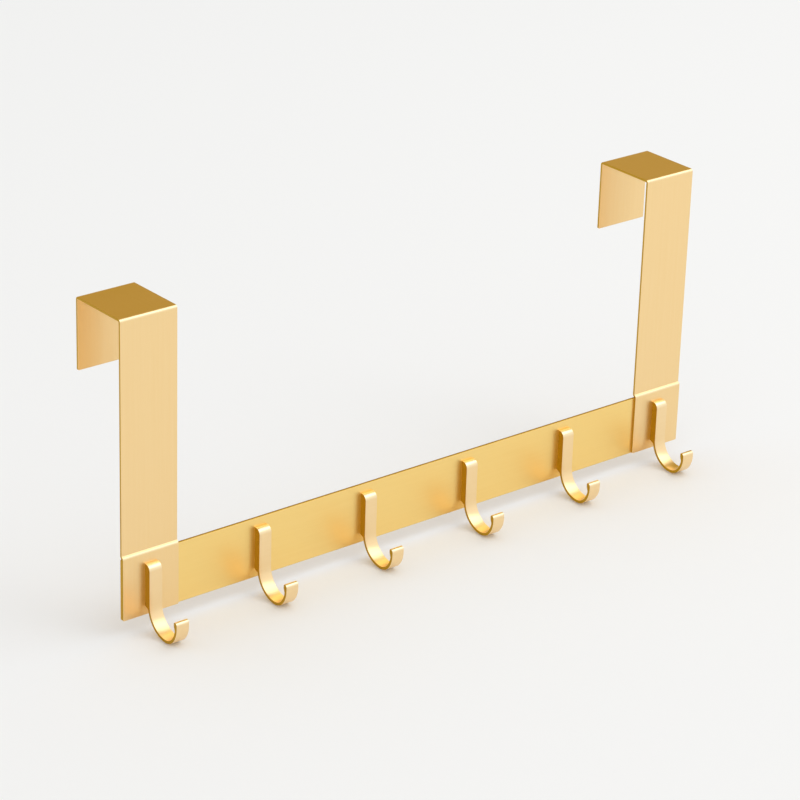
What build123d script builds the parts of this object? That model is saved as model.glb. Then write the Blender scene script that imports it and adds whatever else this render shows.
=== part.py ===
from build123d import *
from math import cos, radians, sin, tan
import os

# Over-door coat hook rail in gold anodised aluminium: two folded straps that hang over the
# top of a door, a flat rail screwed behind their lower ends, and six J hooks on the front.
# X runs along the rail, -Y points into the room and +Z is up. The origin lies on the top
# front edge of the door, halfway between the two straps. All sizes are in millimetres.

# Door and sheet
door_thickness = 42.0
sheet = 1.5
bend_inner_radius = 0.5
edge_chamfer = 0.2
corner_radius = 0.8

# Rail plate
rail_length = 450.0
rail_height = 40.0
rail_top = -151.0

# Over-door straps
strap_width = 40.0
strap_back_leg = 45.0
joggle_angle = 60.0
joggle_clearance = 0.1

# J hooks, cut from one extruded bar
hook_count = 6
hook_pitch = 82.0
hook_width = 9.0
hook_height = 44.0
hook_drop = 6.0
leg_height = 28.0
leg_thickness = 5.0
leg_corner_radius = 4.0
leg_foot_radius = 0.5
strip = 2.0
sweep_radius = 16.5
heel_radius = 10.0
heel_angle = 52.0
lip_radius = 15.0
lip_top = -183.5
underside_angle = 12.0
underside_radius = 1.0

# Bead along the top of the lip
bead_growth = 1.1
bead_height = 3.0
bead_taper = 3.0
bead_front_radius = 2.0
bead_back_radius = 1.0
bead_heel_radius = 2.5

# Countersunk M3 screws, driven from behind the rail
screw_radius = 1.5
screw_spacing = 14.0
middle_screw_length = 5.0
end_screw_length = 6.0
blind_hole_depth = 4.0
clearance_radius = 1.7
countersink_radius = 2.75
countersink_angle = 90.0
head_recess = 0.1

# Places worked out from the dimensions above
rail_middle = rail_top - rail_height / 2
rail_bottom = rail_top - rail_height
rail_front = -sheet
lap_front = -2 * sheet
strap_centre = (rail_length - strap_width) / 2
hook_top = rail_top - hook_drop
hook_places = [(i - (hook_count - 1) / 2) * hook_pitch for i in range(hook_count)]
end_places = [hook_places[0], hook_places[-1]]
middle_places = hook_places[1:-1]
leg_middle = hook_top - leg_height / 2
screw_heights = [leg_middle + screw_spacing / 2, leg_middle - screw_spacing / 2]


def seen_from_door(x, y, z):
    """The plane at a point of the rail that faces the door, with +Z up."""
    return Plane(origin=(x, y, z), x_dir=(-1, 0, 0), z_dir=(0, 1, 0))


def screw_seats(places, y):
    """The planes of all screws at these places along the rail, at the depth y."""
    return [seen_from_door(x, y, z) for x in places for z in screw_heights]


def save(piece, name):
    """Label a finished piece and write its file."""
    piece.part.label = name
    export_step(piece.part, "parts/" + name + ".step")


os.makedirs("parts", exist_ok=True)

# Rail plate: a flat bar with a countersunk hole from behind for each screw of each hook
with BuildPart() as rail_plate:
    with BuildSketch(Plane.XZ):
        with Locations((0, rail_middle)):
            RectangleRounded(rail_length, rail_height, corner_radius)
    extrude(amount=sheet)
    chamfer(rail_plate.faces().filter_by(Axis.Y).edges(), edge_chamfer)
    with Locations(*screw_seats(hook_places, 0)):
        CounterSinkHole(clearance_radius, countersink_radius, counter_sink_angle=countersink_angle)

save(rail_plate, "rail_plate")

# Straps: one folded flat each. The middle of the sheet runs up behind the door, over its
# top and down its front, then steps forward by one sheet to lap over the end of the rail.
half = sheet / 2
bend_radius = bend_inner_radius + half
joggle_drop = sheet / tan(radians(joggle_angle))
bend_run = bend_radius * tan(radians(joggle_angle / 2))
joggle_bottom = rail_top + joggle_clearance + bend_run
strap_route = [
    (door_thickness + half, -strap_back_leg),
    (door_thickness + half, half),
    (-half, half),
    (-half, joggle_bottom + joggle_drop),
    (-half - sheet, joggle_bottom),
    (-half - sheet, rail_bottom),
]

for name, centre in (("left_strap", -strap_centre), ("right_strap", strap_centre)):
    with BuildPart() as strap:
        with BuildSketch(Plane.YZ.offset(centre)):
            with BuildLine():
                FilletPolyline(*strap_route, radius=bend_radius)
            trace(line_width=sheet)
        extrude(amount=strap_width / 2, both=True)
        free_ends = strap.faces().filter_by(Axis.Z).sort_by(Axis.Z)
        end_corners = free_ends[0].edges().filter_by(Axis.Y) + free_ends[1].edges().filter_by(Axis.Y)
        fillet(end_corners, corner_radius)
        chamfer(strap.faces().filter_by(Axis.X).edges(), edge_chamfer)
        with Locations(*screw_seats([centre], rail_front)):
            Hole(clearance_radius, depth=sheet)

    save(strap, name)

# J hooks: slices of one extruded bar. A thick leg lies on the plate, a thin strip sweeps
# forward and down in three arcs that join smoothly, and the lip ends in a bead turned inwards.
# In the section's own plane x is the distance in front of the plate and y is the height.
strip_middle = leg_thickness - strip / 2
sweep_start = hook_top - hook_height + strip / 2 + sweep_radius
under = radians(underside_angle)
underside_reach = strip_middle + sweep_radius * (1 - cos(under))
underside_height = sweep_start - sweep_radius * sin(under)
leg_foot = hook_top - leg_height

for number, place in enumerate(hook_places, start=1):
    seat = lap_front if place in end_places else rail_front
    with BuildPart() as hook:
        with BuildSketch(Plane(origin=(place, seat, 0), x_dir=(0, -1, 0), z_dir=(-1, 0, 0))) as section:
            with BuildLine():
                drop = Line((strip_middle, hook_top - leg_corner_radius), (strip_middle, sweep_start))
                sweep_arc = JernArc(drop @ 1, drop % 1, sweep_radius, 90)
                heel_arc = JernArc(sweep_arc @ 1, sweep_arc % 1, heel_radius, heel_angle)
                lip_arc = JernArc(heel_arc @ 1, heel_arc % 1, lip_radius, 90 - heel_angle)
                lip_middle = (lip_arc @ 1).X
                Line(lip_arc @ 1, (lip_middle, lip_top))
            trace(line_width=strip)
            with BuildLine():
                Polyline(
                    (0, hook_top),
                    (leg_thickness, hook_top),
                    (leg_thickness, sweep_start),
                    (strip_middle, sweep_start),
                    (underside_reach, underside_height),
                    (0, leg_foot),
                    close=True,
                )
            make_face()
            lip_inside = lip_middle - strip / 2
            bead_inside = lip_inside - bead_growth
            bead_foot = lip_top - bead_height
            taper_foot = bead_foot - bead_taper
            with BuildLine():
                Polyline(
                    (lip_middle, lip_top),
                    (bead_inside, lip_top),
                    (bead_inside, bead_foot),
                    (lip_inside, taper_foot),
                    (lip_middle, taper_foot),
                    close=True,
                )
            make_face()
            rounded_corners = [
                ((leg_thickness, hook_top), leg_corner_radius),
                ((0, leg_foot), leg_foot_radius),
                ((underside_reach - strip / 2, underside_height), underside_radius),
                ((lip_middle + strip / 2, lip_top), bead_front_radius),
                ((bead_inside, lip_top), bead_back_radius),
                ((bead_inside, bead_foot), bead_heel_radius),
                ((lip_inside, taper_foot), bead_heel_radius),
            ]
            for corner, radius in rounded_corners:
                fillet(section.vertices().sort_by_distance(corner)[0], radius)
        extrude(amount=hook_width / 2, both=True)
        with Locations(*screw_seats([place], seat)):
            Hole(screw_radius, depth=blind_hole_depth)

    save(hook, "hook_" + str(number))

# Screws: two to each hook. Those of the end hooks are longer, because they also clamp a
# strap. Thread and drive recess are left plain.
head_radius = countersink_radius - head_recess
cone_depth = head_radius - screw_radius
screw_groups = (
    ("end_hook_screws", end_places, end_screw_length),
    ("middle_hook_screws", middle_places, middle_screw_length),
)

for name, places, length in screw_groups:
    with BuildPart() as screw:
        with BuildSketch(Plane.XZ):
            with BuildLine():
                Polyline(
                    (0, 0),
                    (head_radius, 0),
                    (screw_radius, -cone_depth),
                    (screw_radius, -length),
                    (0, -length),
                    close=True,
                )
            make_face()
        revolve(axis=Axis.Z)

    with BuildPart() as screw_group:
        with Locations(*screw_seats(places, -head_recess)):
            add(screw.part)

    save(screw_group, name)
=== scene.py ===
import math

import bpy
import numpy as np
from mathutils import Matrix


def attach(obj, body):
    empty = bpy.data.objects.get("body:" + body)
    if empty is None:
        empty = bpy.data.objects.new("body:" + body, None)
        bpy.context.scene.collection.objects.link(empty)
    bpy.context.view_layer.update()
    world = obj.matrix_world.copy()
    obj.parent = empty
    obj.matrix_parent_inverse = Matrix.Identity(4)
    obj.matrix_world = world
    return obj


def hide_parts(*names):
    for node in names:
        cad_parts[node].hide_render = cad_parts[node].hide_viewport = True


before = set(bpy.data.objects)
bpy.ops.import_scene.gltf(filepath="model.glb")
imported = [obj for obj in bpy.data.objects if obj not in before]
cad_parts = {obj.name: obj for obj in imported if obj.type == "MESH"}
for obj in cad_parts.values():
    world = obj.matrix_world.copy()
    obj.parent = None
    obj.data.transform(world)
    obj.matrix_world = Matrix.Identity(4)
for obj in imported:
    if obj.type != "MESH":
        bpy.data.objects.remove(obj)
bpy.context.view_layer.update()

# Over-door straps. Each is one flat of 1.5 mm aluminium, 40 mm wide, sheared to length and
# folded in a press: a leg behind the door, a cap over its top, a leg down its front, and a
# forward step of one sheet so that its lower end laps over the rail. Satin gold anodised.
MM = 0.001
sheet = 1.5 * MM
strap_width = 40.0 * MM
strap_places = {"left_strap": -205.0 * MM, "right_strap": 205.0 * MM}
strap_corner = 0.8 * MM
strap_edge = 0.2 * MM
strap_hole_radius = 1.7 * MM
screw_heights = MM * np.array([-164.0, -178.0])
fold_radius = 1.25 * MM
fold_count = 4
strap_route = MM * np.array(
    [
        (42.75, -45.0),
        (42.75, 0.75),
        (-0.75, 0.75),
        (-0.75, -149.312),
        (-2.25, -150.178),
        (-2.25, -191.0),
    ]
)

# Points round each free end, fold, long edge and hole, the flat margins kept beside the first
# three so that the shading stays flat between them, and the turn from which a corner is sharp.
end_steps = 7
fold_steps = 13
edge_steps = 6
hole_steps = 48
end_margin = 0.2 * MM
fold_margin = 0.1 * MM
edge_margin = 0.15 * MM
sharp_turn = math.radians(35)


def eased_corners(corners, radii, steps, lead=0.0):
    """Rounds the inner corners of a line. Each corner becomes an arc that touches both of its
    sides. It starts the radius times the tangent of half the turn before the corner, and its
    heading turns evenly from one side's to the other's. A lead adds a point that far before
    and after each arc. Returns the points and the heading at each."""
    into = corners[1:-1] - corners[:-2]
    away = corners[2:] - corners[1:-1]
    start = np.arctan2(into[:, 1], into[:, 0])
    across = into[:, 0] * away[:, 1] - into[:, 1] * away[:, 0]
    turn = np.arctan2(across, (into * away).sum(axis=1))
    reach = radii * np.tan(np.abs(turn) / 2)
    touch = corners[1:-1] - reach[:, None] * np.stack([np.cos(start), np.sin(start)], axis=-1)
    heading = start[:, None] + turn[:, None] * np.linspace(0, 1, steps)
    bend = (radii * np.sign(turn))[:, None]
    x = touch[:, :1] + bend * (np.sin(heading) - np.sin(start)[:, None])
    y = touch[:, 1:] - bend * (np.cos(heading) - np.cos(start)[:, None])
    if lead:
        heading = np.concatenate([heading[:, :1], heading, heading[:, -1:]], axis=1)
        x = np.concatenate([x[:, :1], x, x[:, -1:]], axis=1)
        y = np.concatenate([y[:, :1], y, y[:, -1:]], axis=1)
        shift = np.zeros(heading.shape)
        shift[:, 0] = -lead
        shift[:, -1] = lead
        x = x + shift * np.cos(heading)
        y = y + shift * np.sin(heading)
    return np.stack([x, y], axis=-1).reshape(-1, 2), heading.reshape(-1)


def rounded_outline(corners, radii, steps, lead=0.0):
    """The same for a closed outline: the last corner is put before the first, and the first
    after the last, so that every corner is an inner one."""
    wrapped = np.concatenate([corners[-1:], corners, corners[:1]])
    return eased_corners(wrapped, radii, steps, lead)


def closed_tube(name, rings, painted_highlight):
    """A closed surface through rings of points. Neighbouring rings are joined by four-sided
    faces, and one flat face closes the first ring and one the last. The painted highlight is
    a share from 0 to 1 at each point by which the material paints the metal paler."""
    rows, columns = rings.shape[:2]
    index = np.arange(rows * columns).reshape(rows, columns)
    beside = np.roll(index, -1, axis=1)
    sides = np.stack([index[:-1], beside[:-1], beside[1:], index[1:]], axis=-1)
    lids = [index[0, ::-1].tolist(), index[-1].tolist()]
    mesh = bpy.data.meshes.new(name)
    mesh.from_pydata(rings.reshape(-1, 3).tolist(), [], sides.reshape(-1, 4).tolist() + lids)
    mesh.shade_smooth()
    share = mesh.attributes.new("painted_highlight", "FLOAT", "POINT")
    share.data.foreach_set("value", painted_highlight.reshape(-1).astype(np.float32))
    piece = bpy.data.objects.new(name, mesh)
    bpy.context.scene.collection.objects.link(piece)
    return piece


def narrowing(radius, from_end):
    """How much a side moves in at a distance from a rounded end: the radius less the height
    of its circle there, and nothing past the radius."""
    inside = np.clip(radius - from_end, 0, radius)
    return radius - np.sqrt(radius**2 - inside**2)


def folded_strip(name, centre):
    """A flat bar's rounded section carried along the folded route. At each point of the route
    the section stands across it, and near the two free ends its width and its thickness draw
    in along a circle, which rounds the corners and the end edges. The corner's first three
    steps would fall among the end edge's, so they are left out. Halfway round each fold, where
    its highlight falls, the metal is painted paler by the sine of the turn: a painted highlight."""
    quarter = np.linspace(0, np.pi / 2, end_steps)
    rounding = [strap_edge * (1 - np.cos(quarter)), strap_corner * (1 - np.cos(quarter)[3:])]
    from_end = np.unique(np.concatenate(rounding + [[strap_corner + end_margin]]))
    fold_radii = np.full(fold_count, fold_radius)
    folds, fold_heading = eased_corners(strap_route, fold_radii, fold_steps, fold_margin)
    first = strap_route[0] + from_end[:, None] * np.array([0.0, 1.0])
    last = strap_route[-1] + from_end[::-1, None] * np.array([0.0, 1.0])
    centres = np.concatenate([first, folds, last])
    up = np.full(len(from_end), np.pi / 2)
    heading = np.concatenate([up, fold_heading, -up])
    far_from_ends = np.full(len(folds), strap_width)
    end_distance = np.concatenate([from_end, far_from_ends, from_end[::-1]])
    half = np.array([strap_width / 2, sheet / 2])
    box_corners = half * np.array([(1, 1), (1, -1), (-1, -1), (-1, 1)])
    edge_radii = np.full(len(box_corners), strap_edge)
    section, _ = rounded_outline(box_corners, edge_radii, edge_steps, edge_margin)
    side_in = narrowing(strap_corner, end_distance)[:, None] * np.sign(section[:, 0])
    face_in = narrowing(strap_edge, end_distance)[:, None] * np.sign(section[:, 1])
    across = section[:, 0] - side_in
    out = section[:, 1] - face_in
    x = centre + across
    y = centres[:, :1] - out * np.sin(heading)[:, None]
    z = centres[:, 1:] + out * np.cos(heading)[:, None]
    # Painted highlight: paler metal halfway round each fold, by the sine of the turn.
    round_fold = np.concatenate([[0.0], np.sin(np.linspace(0, np.pi, fold_steps)), [0.0]])
    flat_end = np.zeros(len(from_end))
    painted_highlight = np.concatenate([flat_end, np.tile(round_fold, fold_count), flat_end])
    painted_highlight = painted_highlight[:, None] + np.zeros(len(section))
    return closed_tube(name, np.stack([x, y, z], axis=-1), painted_highlight)


def drilled(piece, places, heights, radius, start, end):
    """Round holes along the depth: a many-sided rod at each place and height, from the start
    to the end depth, is taken away from the piece, and the rims of the holes are sharp."""
    turn = np.linspace(0, 2 * np.pi, hole_steps, endpoint=False)
    centre_x, centre_z = np.meshgrid(places, heights, indexing="ij")
    x = centre_x.reshape(-1, 1, 1) + radius * np.cos(turn)
    z = centre_z.reshape(-1, 1, 1) + radius * np.sin(turn)
    y = np.array([end, start])[:, None]
    x, y, z = np.broadcast_arrays(x, y, z)
    index = np.arange(x.size).reshape(x.shape)
    beside = np.roll(index, -1, axis=2)
    sides = np.stack([index[:, 0], index[:, 1], beside[:, 1], beside[:, 0]], axis=-1)
    lids = np.concatenate([index[:, 0], index[:, 1, ::-1]])
    mesh = bpy.data.meshes.new("rods")
    points = np.stack([x, y, z], axis=-1).reshape(-1, 3)
    mesh.from_pydata(points.tolist(), [], sides.reshape(-1, 4).tolist() + lids.tolist())
    rods = bpy.data.objects.new("rods", mesh)
    bpy.context.scene.collection.objects.link(rods)
    cut = piece.modifiers.new("holes", "BOOLEAN")
    cut.operation = "DIFFERENCE"
    cut.solver = "EXACT"
    cut.object = rods
    whole = piece.data
    solved = piece.evaluated_get(bpy.context.evaluated_depsgraph_get())
    piece.data = bpy.data.meshes.new_from_object(solved)
    piece.modifiers.clear()
    bpy.data.meshes.remove(whole)
    piece.data.name = piece.name
    bpy.data.objects.remove(rods)
    bpy.data.meshes.remove(mesh)
    piece.data.set_sharp_from_angle(angle=sharp_turn)


def node_group(name, inputs, outputs):
    """An empty shader node group. Each input is a name, a kind and a plain value, and each
    output a name and a kind."""
    group = bpy.data.node_groups.new(name, "ShaderNodeTree")
    for label, kind, value in inputs:
        socket = group.interface.new_socket(name=label, in_out="INPUT", socket_type=kind)
        socket.default_value = value
    for label, kind in outputs:
        group.interface.new_socket(name=label, in_out="OUTPUT", socket_type=kind)
    return group, group.nodes.new("NodeGroupInput"), group.nodes.new("NodeGroupOutput")


def new_node(tree, kind, settings=None, values=None):
    """A node of a kind, with its settings and the plain values of its inputs."""
    node = tree.nodes.new(kind)
    for key, value in (settings or {}).items():
        setattr(node, key, value)
    for key, value in (values or {}).items():
        node.inputs[key].default_value = value
    return node


def wire(tree, source, target):
    """Joins an output, given as a node and a name, to an input given the same way."""
    tree.links.new(source[0].outputs[source[1]], target[0].inputs[target[1]])


# Drawing and brushing leave long fine lines. Two noises on stretched coordinates, one fine
# and one six times coarser, are mixed into one pattern of lines.
lines, into, out = node_group(
    "drawn_lines",
    [("Vector", "NodeSocketVector", (0, 0, 0)), ("Coarse", "NodeSocketFloat", 0.4)],
    [("Lines", "NodeSocketFloat")],
)
fine = new_node(lines, "ShaderNodeTexNoise", None, {"Scale": 1.0, "Detail": 3.0, "Roughness": 0.6})
broad = new_node(
    lines,
    "ShaderNodeTexNoise",
    None,
    {"Scale": 0.16, "Detail": 2.0, "Roughness": 0.5},
)
blend = new_node(lines, "ShaderNodeMix", {"data_type": "FLOAT"})
wire(lines, (into, "Vector"), (fine, "Vector"))
wire(lines, (into, "Vector"), (broad, "Vector"))
wire(lines, (into, "Coarse"), (blend, "Factor"))
wire(lines, (fine, "Fac"), (blend, "A"))
wire(lines, (broad, "Fac"), (blend, "B"))
wire(lines, (blend, "Result"), (out, "Lines"))

# Sheared and sawn faces look in one direction, so the surface's own direction finds them.
facing, into, out = node_group(
    "cut_faces",
    [("Direction", "NodeSocketVector", (1, 0, 0))],
    [("Mask", "NodeSocketFloat")],
)
place = new_node(facing, "ShaderNodeTexCoord")
product = new_node(facing, "ShaderNodeVectorMath", {"operation": "DOT_PRODUCT"})
size = new_node(facing, "ShaderNodeMath", {"operation": "ABSOLUTE"})
step = new_node(
    facing,
    "ShaderNodeMapRange",
    {"interpolation_type": "SMOOTHSTEP"},
    {"From Min": 0.75, "From Max": 0.95},
)
wire(facing, (place, "Normal"), (product, 0))
wire(facing, (into, "Direction"), (product, 1))
wire(facing, (product, "Value"), (size, 0))
wire(facing, (size, 0), (step, "Value"))
wire(facing, (step, "Result"), (out, "Mask"))

# Handling rubs the dye off sharp edges. The edge is where the surface and its rounded twin
# point different ways, and a patchy noise breaks the line up.
rubbed, into, out = node_group(
    "rubbed_edges",
    [("Width", "NodeSocketFloat", 0.3 * MM), ("Patches", "NodeSocketFloat", 90.0)],
    [("Mask", "NodeSocketFloat")],
)
place = new_node(rubbed, "ShaderNodeTexCoord")
surface = new_node(rubbed, "ShaderNodeNewGeometry")
eased = new_node(rubbed, "ShaderNodeBevel", {"samples": 4})
product = new_node(rubbed, "ShaderNodeVectorMath", {"operation": "DOT_PRODUCT"})
step = new_node(rubbed, "ShaderNodeMapRange", None, {"From Min": 0.98, "From Max": 0.80})
patch = new_node(rubbed, "ShaderNodeTexNoise", None, {"Detail": 3.0})
patchy = new_node(rubbed, "ShaderNodeMapRange", None, {"From Min": 0.42, "From Max": 0.68})
both = new_node(rubbed, "ShaderNodeMath", {"operation": "MULTIPLY"})
wire(rubbed, (into, "Width"), (eased, "Radius"))
wire(rubbed, (eased, "Normal"), (product, 0))
wire(rubbed, (surface, "True Normal"), (product, 1))
wire(rubbed, (product, "Value"), (step, "Value"))
wire(rubbed, (place, "Object"), (patch, "Vector"))
wire(rubbed, (into, "Patches"), (patch, "Scale"))
wire(rubbed, (patch, "Fac"), (patchy, "Value"))
wire(rubbed, (step, "Result"), (both, 0))
wire(rubbed, (patchy, "Result"), (both, 1))
wire(rubbed, (both, 0), (out, "Mask"))


# The colour of the paler metal, in the painted highlights and where the dye is rubbed off,
# how far the deepest dye, the painted highlights and rubbing change the colour, and how much
# rougher a cut face is.
pale_metal = (0.97, 0.86, 0.62, 1)
deepest_dye = 0.20
painted_highlight_share = 0.5
rubbed_paling = 0.45
cut_roughness = 0.12


def satin_gold(name, stretch, cut_direction, cut_outside, tone, roughness, line_depth):
    """Anodised aluminium: fine lines vary the dye's depth, the gloss and a shallow bump, a
    soft cloud varies the gloss more broadly, painted highlights and rubbed edges show paler
    metal, and cut faces are rougher and painted darker, a painted shade. Stretch gives the
    lines per metre along each axis, tone the colours of the face, of the deepest dye and of
    the cuts' painted shade, and roughness its least and most. Cut faces look along the cut
    direction or, with cut_outside, are all that don't."""
    face_gold, deep_gold, shaded_cut_gold = tone
    material = bpy.data.materials.new(name)
    material.use_nodes = True
    tree = material.node_tree
    metal = tree.nodes["Principled BSDF"]
    metal.inputs["Metallic"].default_value = 1.0
    place = new_node(tree, "ShaderNodeTexCoord")
    turn = new_node(tree, "ShaderNodeMapping", None, {"Scale": stretch})
    grain = new_node(tree, "ShaderNodeGroup", {"node_tree": lines}, {"Coarse": 0.45})
    cut = new_node(tree, "ShaderNodeGroup", {"node_tree": facing}, {"Direction": cut_direction})
    cut_side = new_node(
        tree,
        "ShaderNodeMapRange",
        None,
        {"To Min": 1.0 if cut_outside else 0.0, "To Max": 0.0 if cut_outside else 1.0},
    )
    wear = new_node(tree, "ShaderNodeGroup", {"node_tree": rubbed}, {"Width": 0.3 * MM})
    cloud = new_node(tree, "ShaderNodeTexNoise", None, {"Scale": 14.0, "Detail": 3.0})
    face = new_node(tree, "ShaderNodeMix", {"data_type": "RGBA"}, {"A": face_gold, "B": deep_gold})
    face_share = new_node(
        tree,
        "ShaderNodeMapRange",
        None,
        {"From Min": 0.35, "From Max": 0.75, "To Max": deepest_dye},
    )
    highlight_attribute = new_node(tree, "ShaderNodeAttribute", {"attribute_name": "painted_highlight"})
    highlight_share = new_node(tree, "ShaderNodeMath", {"operation": "MULTIPLY"}, {1: painted_highlight_share})
    # Painted highlight: the metal is painted paler where the mesh marks a highlight.
    highlight_paled = new_node(tree, "ShaderNodeMix", {"data_type": "RGBA"}, {"B": pale_metal})
    # Painted shade: cut faces are painted a darker gold; their extra roughness is the real cut
    # finish.
    sawn = new_node(tree, "ShaderNodeMix", {"data_type": "RGBA"}, {"B": shaded_cut_gold})
    bright = new_node(tree, "ShaderNodeMix", {"data_type": "RGBA"}, {"B": pale_metal})
    wear_share = new_node(tree, "ShaderNodeMath", {"operation": "MULTIPLY"}, {1: rubbed_paling})
    wire(tree, (place, "Object"), (turn, "Vector"))
    wire(tree, (turn, "Vector"), (grain, "Vector"))
    wire(tree, (place, "Object"), (cloud, "Vector"))
    wire(tree, (cut, "Mask"), (cut_side, "Value"))
    wire(tree, (grain, "Lines"), (face_share, "Value"))
    wire(tree, (face_share, "Result"), (face, "Factor"))
    wire(tree, (highlight_attribute, "Fac"), (highlight_share, 0))
    wire(tree, (face, "Result"), (highlight_paled, "A"))
    wire(tree, (highlight_share, 0), (highlight_paled, "Factor"))
    wire(tree, (highlight_paled, "Result"), (sawn, "A"))
    wire(tree, (cut_side, "Result"), (sawn, "Factor"))
    wire(tree, (wear, "Mask"), (wear_share, 0))
    wire(tree, (sawn, "Result"), (bright, "A"))
    wire(tree, (wear_share, 0), (bright, "Factor"))
    wire(tree, (bright, "Result"), (metal, "Base Color"))
    gloss = new_node(
        tree,
        "ShaderNodeMapRange",
        None,
        {"From Min": 0.3, "From Max": 0.7, "To Min": roughness[0], "To Max": roughness[1]},
    )
    haze = new_node(
        tree,
        "ShaderNodeMapRange",
        None,
        {"From Min": 0.3, "From Max": 0.7, "To Min": -0.02, "To Max": 0.03},
    )
    gloss_sum = new_node(tree, "ShaderNodeMath", {"operation": "ADD"})
    rough_cut = new_node(tree, "ShaderNodeMath", {"operation": "MULTIPLY_ADD"}, {1: cut_roughness})
    wire(tree, (grain, "Lines"), (gloss, "Value"))
    wire(tree, (cloud, "Fac"), (haze, "Value"))
    wire(tree, (gloss, "Result"), (gloss_sum, 0))
    wire(tree, (haze, "Result"), (gloss_sum, 1))
    wire(tree, (cut_side, "Result"), (rough_cut, 0))
    wire(tree, (gloss_sum, 0), (rough_cut, 2))
    wire(tree, (rough_cut, 0), (metal, "Roughness"))
    relief = new_node(
        tree,
        "ShaderNodeBump",
        None,
        {"Strength": line_depth, "Distance": 0.05 * MM},
    )
    wire(tree, (grain, "Lines"), (relief, "Height"))
    wire(tree, (relief, "Normal"), (metal, "Normal"))
    return material


strap_gold = satin_gold(
    "satin_gold_strap",
    stretch=(3600, 45, 45),
    cut_direction=(1, 0, 0),
    cut_outside=False,
    # The third tone, the darker gold of the cut faces, is painted shade.
    tone=[(0.960, 0.705, 0.362, 1), (0.87, 0.590, 0.220, 1), (0.56, 0.33, 0.030, 1)],
    roughness=(0.34, 0.41),
    line_depth=0.10,
)

# The holes for the end hooks' screws go right through the lap, from half a sheet behind it to
# half a sheet in front.
behind_lap = -sheet / 2
before_lap = -2.5 * sheet
for strap_name, strap_place in strap_places.items():
    strap = folded_strip(strap_name + "_folded", strap_place)
    drilled(strap, [strap_place], screw_heights, strap_hole_radius, behind_lap, before_lap)
    strap.data.materials.append(strap_gold)
    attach(strap, "root")
    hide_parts(strap_name)

# Rail plate. One flat bar of the same sheet, 450 mm long, with twelve countersunk holes from
# behind. It keeps its drawn form, edges and holes, and its lines run along its length.
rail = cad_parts["rail_plate"]
rail_gold = satin_gold(
    "satin_gold_rail",
    stretch=(45, 45, 3600),
    cut_direction=(0, 1, 0),
    cut_outside=True,
    # The third tone, the darker gold of the cut faces, is painted shade.
    tone=[(0.990, 0.720, 0.268, 1), (0.87, 0.600, 0.180, 1), (0.56, 0.33, 0.030, 1)],
    roughness=(0.34, 0.41),
    line_depth=0.10,
)
rail.data.materials.clear()
rail.data.materials.append(rail_gold)

# J hooks. Slices, 9 mm wide, of one extruded bar: a thick leg with a rounded shoulder, a thin
# strip that sweeps forward, and a lip with a bead turned inwards. Two blind holes take the
# screws. The two end hooks sit on the straps, one sheet further forward.
hook_places = MM * np.array([-205.0, -123.0, -41.0, 41.0, 123.0, 205.0])
hook_seats = MM * np.array([-3.0, -1.5, -1.5, -1.5, -1.5, -3.0])
hook_half_width = 4.5 * MM
hook_edge = 0.22 * MM
blind_hole_radius = 1.5 * MM
blind_hole_depth = 4.0 * MM
behind_seat = 1.0 * MM
corner_steps = 19
cut_steps = 6
cut_margin = 0.06 * MM
closest_points = 0.002 * MM

# The corners of the outline, where its sides or their tangents cross: the distance in front
# of the plate, the height and the rounding. Then how far each corner is painted paler, a
# painted highlight on the shoulder and the bead.
hook_outline = MM * np.array(
    [
        (0.0, -157.0, 0.3),
        (5.0, -157.0, 4.0),
        (5.0, -199.0, 15.5),
        (24.890, -199.0, 9.0),
        (29.566, -193.014, 14.0),
        (30.413, -189.099, 2.5),
        (29.460, -186.5, 2.5),
        (29.460, -183.5, 1.0),
        (32.560, -183.5, 2.0),
        (32.560, -192.431, 16.0),
        (25.865, -201.0, 11.0),
        (6.202, -201.0, 17.5),
        (3.238, -186.434, 1.0),
        (0.0, -185.0, 0.5),
    ]
)
hook_highlight_corners = np.array([0, 1, 0, 0, 0, 0.3, 0.3, 1, 1, 0, 0, 0, 0, 0])


def sliced_bar(name, place, seat):
    """The section's outline, without points that all but meet, set at steps across the width.
    At each cut edge it is drawn in along its own normal on a quarter circle, then once more
    on the flat of the cut. The shoulder and the bead, where highlights fall, are painted paler
    by the sine of the turn round the corner, a painted highlight."""
    outline, heading = rounded_outline(hook_outline[:, :2], hook_outline[:, 2], corner_steps)
    # Painted highlight: paler metal on the shoulder and the bead.
    round_corner = np.sin(np.linspace(0, np.pi, corner_steps))
    highlight_corner = (hook_highlight_corners[:, None] * round_corner).reshape(-1)
    gap = np.linalg.norm(outline - np.roll(outline, 1, axis=0), axis=1)
    keep = gap > closest_points
    outline = outline[keep]
    heading = heading[keep]
    quarter = np.linspace(0, np.pi / 2, cut_steps)
    inset = np.concatenate([[hook_edge + cut_margin], hook_edge * (1 - np.sin(quarter))])
    offset = np.concatenate([[0.0], hook_edge * (1 - np.cos(quarter))]) - hook_half_width
    inset = np.concatenate([inset, inset[::-1]])[:, None]
    offset = np.concatenate([offset, -offset[::-1]])[:, None]
    x = place + offset + np.zeros(len(outline))
    y = seat - outline[:, 0] - inset * np.sin(heading)
    z = outline[:, 1] - inset * np.cos(heading)
    painted_highlight = highlight_corner[keep] + np.zeros(x.shape)
    return closed_tube(name, np.stack([x, y, z], axis=-1), painted_highlight)


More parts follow.
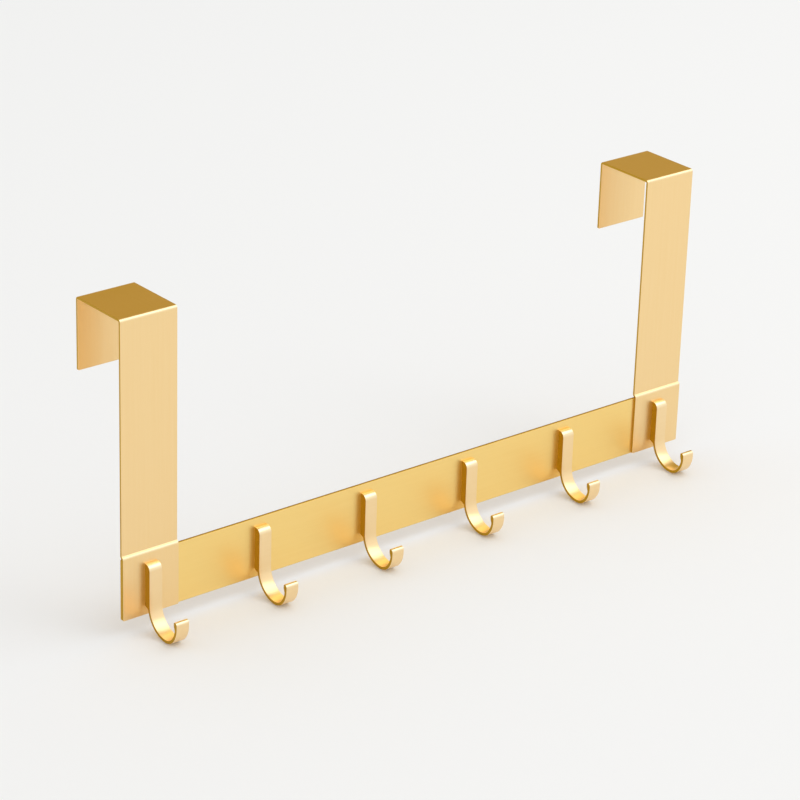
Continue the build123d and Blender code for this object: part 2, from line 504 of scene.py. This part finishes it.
hook_gold = satin_gold(
    "satin_gold_hook",
    stretch=(60, 2400, 2400),
    cut_direction=(1, 0, 0),
    cut_outside=False,
    # The third tone, the darker gold of the cut faces, is painted shade.
    tone=[(0.970, 0.735, 0.415, 1), (0.88, 0.62, 0.27, 1), (0.50, 0.28, 0.012, 1)],
    roughness=(0.29, 0.34),
    line_depth=0.06,
)
for number, (hook_place, hook_seat) in enumerate(zip(hook_places, hook_seats), start=1):
    node = "hook_" + str(number)
    hook = sliced_bar(node + "_slice", hook_place, hook_seat)
    hole_start = hook_seat + behind_seat
    hole_end = hook_seat - blind_hole_depth
    drilled(hook, [hook_place], screw_heights, blind_hole_radius, hole_start, hole_end)
    hook.data.materials.append(hook_gold)
    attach(hook, "root")
    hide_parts(node)

# Screws. Twelve countersunk M3 machine screws with a cross recess, zinc plated steel, driven
# from behind the rail into the hooks, two to a hook. Those of the end hooks are 1 mm longer.
head_radius = 2.65 * MM
head_level = -0.1 * MM
head_rim = 0.03 * MM
head_square_share = 0.55
head_lines = MM * np.array([0.0, 0.2, 0.36, 0.43, 0.7, 1.0, 1.25, 1.35, 1.8, 2.2, 2.65])
recess_depth = 0.95 * MM
arm_half_width = 0.43 * MM
arm_half_length = 1.35 * MM
arm_side_slope = 0.07 * MM
arm_end_slope = 0.65 * MM
cone_depths = MM * np.array([0.06, 0.5, 1.0, 1.15])
shank_radius = 1.5 * MM
thread_depth = 0.27 * MM
thread_pitch = 0.5 * MM
thread_steps = 6
thread_crest_flat = 0.15
thread_flank_slope = 1.25
thread_start = 1.25 * MM
thread_end = 0.3 * MM
tip_length = 0.15 * MM
tip_radii = MM * np.array([1.2, 1.0])
least_radius = 1e-9


def driven_screws(name, places, length):
    """Each head is a square grid whose outer lines bend out to a circle, sunk where the four
    arms of the cross are, with walls that lean in. Its rim then runs down the cone and the
    thread, whose radius is a blunt saw-tooth of the depth plus the turn, and the tip closes
    it. The same screw is set at each place and height."""
    line = np.concatenate([-head_lines[:0:-1], head_lines])
    u, v = np.meshgrid(line, line, indexing="ij")
    reach = np.maximum(np.abs(u), np.abs(v))
    radius = np.maximum(np.hypot(u, v), least_radius)
    share = np.clip((reach / head_radius - head_square_share) / (1 - head_square_share), 0, 1)
    scale = 1 + (reach / radius - 1) * share
    x = u * scale
    z = v * scale
    from_side = arm_half_width - np.minimum(np.abs(x), np.abs(z))
    from_arm_end = arm_half_length - np.maximum(np.abs(x), np.abs(z))
    wide = np.clip(from_side / arm_side_slope, 0, 1)
    long = np.clip(from_arm_end / arm_end_slope, 0, 1)
    sunk = recess_depth * wide * long
    count = len(line)
    grid = np.arange(count * count).reshape(count, count)
    rim = np.concatenate([grid[:-1, 0], grid[-1, :-1], grid[:0:-1, -1], grid[0, :0:-1]])
    tops = np.stack([grid[:-1, :-1], grid[:-1, 1:], grid[1:, 1:], grid[1:, :-1]], axis=-1)
    angle = np.arctan2(z.reshape(-1)[rim], x.reshape(-1)[rim])
    cone_radii = np.minimum(head_radius, head_radius + head_rim - cone_depths)
    depth = np.arange(thread_start, length - thread_end, thread_pitch / thread_steps)
    wave = np.abs(2 * ((depth[:, None] / thread_pitch + angle / (2 * np.pi)) % 1) - 1)
    cut_in = np.clip(thread_flank_slope * wave - thread_crest_flat, 0, 1)
    ridge = shank_radius - thread_depth * cut_in
    plain = np.ones(len(angle))
    tip_depths = np.array([length - tip_length, length])
    ring_radius = np.concatenate([cone_radii[:, None] * plain, ridge, tip_radii[:, None] * plain])
    level = np.concatenate([cone_depths, depth, tip_depths])
    ring_depth = level[:, None] * plain
    side_x = (ring_radius * np.cos(angle)).reshape(-1)
    side_z = (ring_radius * np.sin(angle)).reshape(-1)
    one_x = np.concatenate([x.reshape(-1), side_x])
    one_y = head_level - np.concatenate([sunk.reshape(-1), ring_depth.reshape(-1)])
    one_z = np.concatenate([z.reshape(-1), side_z])
    one = np.stack([one_x, one_y, one_z], axis=-1)
    rings = np.arange(ring_radius.size).reshape(ring_radius.shape) + count * count
    rings = np.concatenate([rim[None], rings])
    beside = np.roll(rings, -1, axis=1)
    walls = np.stack([rings[:-1], beside[:-1], beside[1:], rings[1:]], axis=-1)
    quads = np.concatenate([tops.reshape(-1, 4), walls.reshape(-1, 4)])
    seat_x, seat_z = np.meshgrid(places, screw_heights, indexing="ij")
    seat = np.stack([seat_x.reshape(-1), np.zeros(seat_x.size), seat_z.reshape(-1)], axis=-1)
    points = one[None] + seat[:, None]
    shift = np.arange(len(seat)) * len(one)
    sides = (quads[None] + shift[:, None, None]).reshape(-1, 4).tolist()
    lids = (rings[-1][None] + shift[:, None]).tolist()
    mesh = bpy.data.meshes.new(name)
    mesh.from_pydata(points.reshape(-1, 3).tolist(), [], sides + lids)
    mesh.shade_smooth()
    mesh.set_sharp_from_angle(angle=sharp_turn)
    piece = bpy.data.objects.new(name, mesh)
    bpy.context.scene.collection.objects.link(piece)
    return piece


# Zinc plate: short lines turned on the lathe, a cloudy film of two greys, and brighter metal
# on the rubbed edges.
zinc = bpy.data.materials.new("zinc_plated_steel")
zinc.use_nodes = True
tree = zinc.node_tree
plate = tree.nodes["Principled BSDF"]
plate.inputs["Metallic"].default_value = 1.0
place = new_node(tree, "ShaderNodeTexCoord")
turned = new_node(tree, "ShaderNodeMapping", None, {"Scale": (900, 4500, 900)})
grain = new_node(tree, "ShaderNodeGroup", {"node_tree": lines}, {"Coarse": 0.3})
film = new_node(tree, "ShaderNodeTexNoise", None, {"Scale": 420.0, "Detail": 4.0})
colour = new_node(
    tree,
    "ShaderNodeMix",
    {"data_type": "RGBA"},
    {"A": (0.78, 0.77, 0.74, 1), "B": (0.66, 0.65, 0.60, 1)},
)
gloss = new_node(tree, "ShaderNodeMapRange", None, {"To Min": 0.24, "To Max": 0.42})
relief = new_node(tree, "ShaderNodeBump", None, {"Strength": 0.15, "Distance": 0.03 * MM})
wear = new_node(
    tree,
    "ShaderNodeGroup",
    {"node_tree": rubbed},
    {"Width": 0.12 * MM, "Patches": 700.0},
)
worn = new_node(tree, "ShaderNodeMix", {"data_type": "RGBA"}, {"B": (0.88, 0.87, 0.85, 1)})
wire(tree, (place, "Object"), (turned, "Vector"))
wire(tree, (turned, "Vector"), (grain, "Vector"))
wire(tree, (place, "Object"), (film, "Vector"))
wire(tree, (film, "Fac"), (colour, "Factor"))
wire(tree, (colour, "Result"), (worn, "A"))
wire(tree, (wear, "Mask"), (worn, "Factor"))
wire(tree, (worn, "Result"), (plate, "Base Color"))
wire(tree, (grain, "Lines"), (gloss, "Value"))
wire(tree, (gloss, "Result"), (plate, "Roughness"))
wire(tree, (grain, "Lines"), (relief, "Height"))
wire(tree, (relief, "Normal"), (plate, "Normal"))
screw_groups = [
    ("end_hook_screws", hook_places[[0, 5]], 6.0 * MM),
    ("middle_hook_screws", hook_places[1:5], 5.0 * MM),
]
for screw_node, screw_places, screw_length in screw_groups:
    screws = driven_screws(screw_node + "_threaded", screw_places, screw_length)
    screws.data.materials.append(zinc)
    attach(screws, "root")
    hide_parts(screw_node)

# Floor. A plain pale sheet just under the hooks, wide enough to fill every view. It is matt,
# so that it takes the shadows and mirrors nothing.
floor_level = -201.6 * MM
floor_half = 9.0
floor_mesh = bpy.data.meshes.new("floor")
floor_corners = np.array([(-1, -1), (1, -1), (1, 1), (-1, 1)]) * floor_half
floor_points = np.column_stack([floor_corners, np.full(4, floor_level)])
floor_mesh.from_pydata(floor_points.tolist(), [], [[0, 1, 2, 3]])
floor = bpy.data.objects.new("floor", floor_mesh)
bpy.context.scene.collection.objects.link(floor)
pale = bpy.data.materials.new("pale_floor")
pale.use_nodes = True
matt = pale.node_tree.nodes["Principled BSDF"]
matt.inputs["Base Color"].default_value = (0.90, 0.90, 0.89, 1)
matt.inputs["Roughness"].default_value = 0.9
matt.inputs["Specular IOR Level"].default_value = 0.0
floor_mesh.materials.append(pale)

# Room light. An even white sky lights the floor. The metal and the view see it white round
# the horizon and in front, and dim and warm high up behind. One large soft lamp, above and to
# the right, adds the highlights and the shadow.
white = (1, 1, 1, 1)
dim_warm = (0.45, 0.305, 0.02, 1)
world = bpy.data.worlds.new("studio")
bpy.context.scene.world = world
world.use_nodes = True
sky = world.node_tree
sky.nodes.clear()
around = new_node(sky, "ShaderNodeTexCoord")
parts = new_node(sky, "ShaderNodeSeparateXYZ")
height = new_node(
    sky,
    "ShaderNodeMapRange",
    {"interpolation_type": "SMOOTHSTEP"},
    {"From Min": -0.02, "From Max": 0.25},
)
behind = new_node(
    sky,
    "ShaderNodeMapRange",
    {"interpolation_type": "SMOOTHSTEP"},
    {"From Min": -0.30, "From Max": 0.30},
)
dim = new_node(sky, "ShaderNodeMath", {"operation": "MULTIPLY"})
seen = new_node(sky, "ShaderNodeMix", {"data_type": "RGBA"}, {"A": white, "B": dim_warm})
ray = new_node(sky, "ShaderNodeLightPath")
either = new_node(sky, "ShaderNodeMath", {"operation": "MAXIMUM"})
shown = new_node(sky, "ShaderNodeMath", {"operation": "MAXIMUM"})
even = new_node(sky, "ShaderNodeBackground", None, {"Color": white, "Strength": 0.88})
view = new_node(sky, "ShaderNodeBackground", None, {"Strength": 1.0})
choice = new_node(sky, "ShaderNodeMixShader")
end = new_node(sky, "ShaderNodeOutputWorld")
wire(sky, (around, "Generated"), (parts, 0))
wire(sky, (parts, "Z"), (height, "Value"))
wire(sky, (parts, "Y"), (behind, "Value"))
wire(sky, (height, "Result"), (dim, 0))
wire(sky, (behind, "Result"), (dim, 1))
wire(sky, (dim, 0), (seen, "Factor"))
wire(sky, (seen, "Result"), (view, "Color"))
wire(sky, (ray, "Is Camera Ray"), (either, 0))
wire(sky, (ray, "Is Glossy Ray"), (either, 1))
wire(sky, (either, 0), (shown, 0))
wire(sky, (ray, "Is Transmission Ray"), (shown, 1))
wire(sky, (shown, 0), (choice, 0))
wire(sky, (even, 0), (choice, 1))
wire(sky, (view, 0), (choice, 2))
wire(sky, (choice, 0), (end, "Surface"))


object_middle = np.array([0, -0.01, -0.10])


def soft_box(name, direction, distance, width, tall, watts):
    """A rectangular lamp that stands off along a direction and faces the middle of the
    object, turned so that its own depth axis is that direction."""
    lamp = bpy.data.lights.new(name, "AREA")
    lamp.shape = "RECTANGLE"
    lamp.size = width
    lamp.size_y = tall
    lamp.energy = watts
    box = bpy.data.objects.new(name, lamp)
    out = np.array(direction) / np.linalg.norm(direction)
    box.location = out * distance + object_middle
    box.rotation_euler = (math.acos(out[2]), 0, math.atan2(out[0], -out[1]))
    bpy.context.scene.collection.objects.link(box)


soft_box("key_box", (0.57, -0.38, 0.85), distance=3.2, width=3.2, tall=2.1, watts=22.0)

# Camera. A long lens in front of the rail, above it and to its left, which looks down on it
# at the angle of the picture.
lens = bpy.data.cameras.new("camera")
lens.lens = 144.04
lens.sensor_width = 36.0
camera = bpy.data.objects.new("camera", lens)
camera.location = (-1.17537, -1.39618, 0.69707)
camera.rotation_euler = (math.radians(66.2305), math.radians(-1.6622), math.radians(-38.9937))
bpy.context.scene.collection.objects.link(camera)
bpy.context.scene.camera = camera
bpy.context.scene.view_settings.view_transform = "Standard"
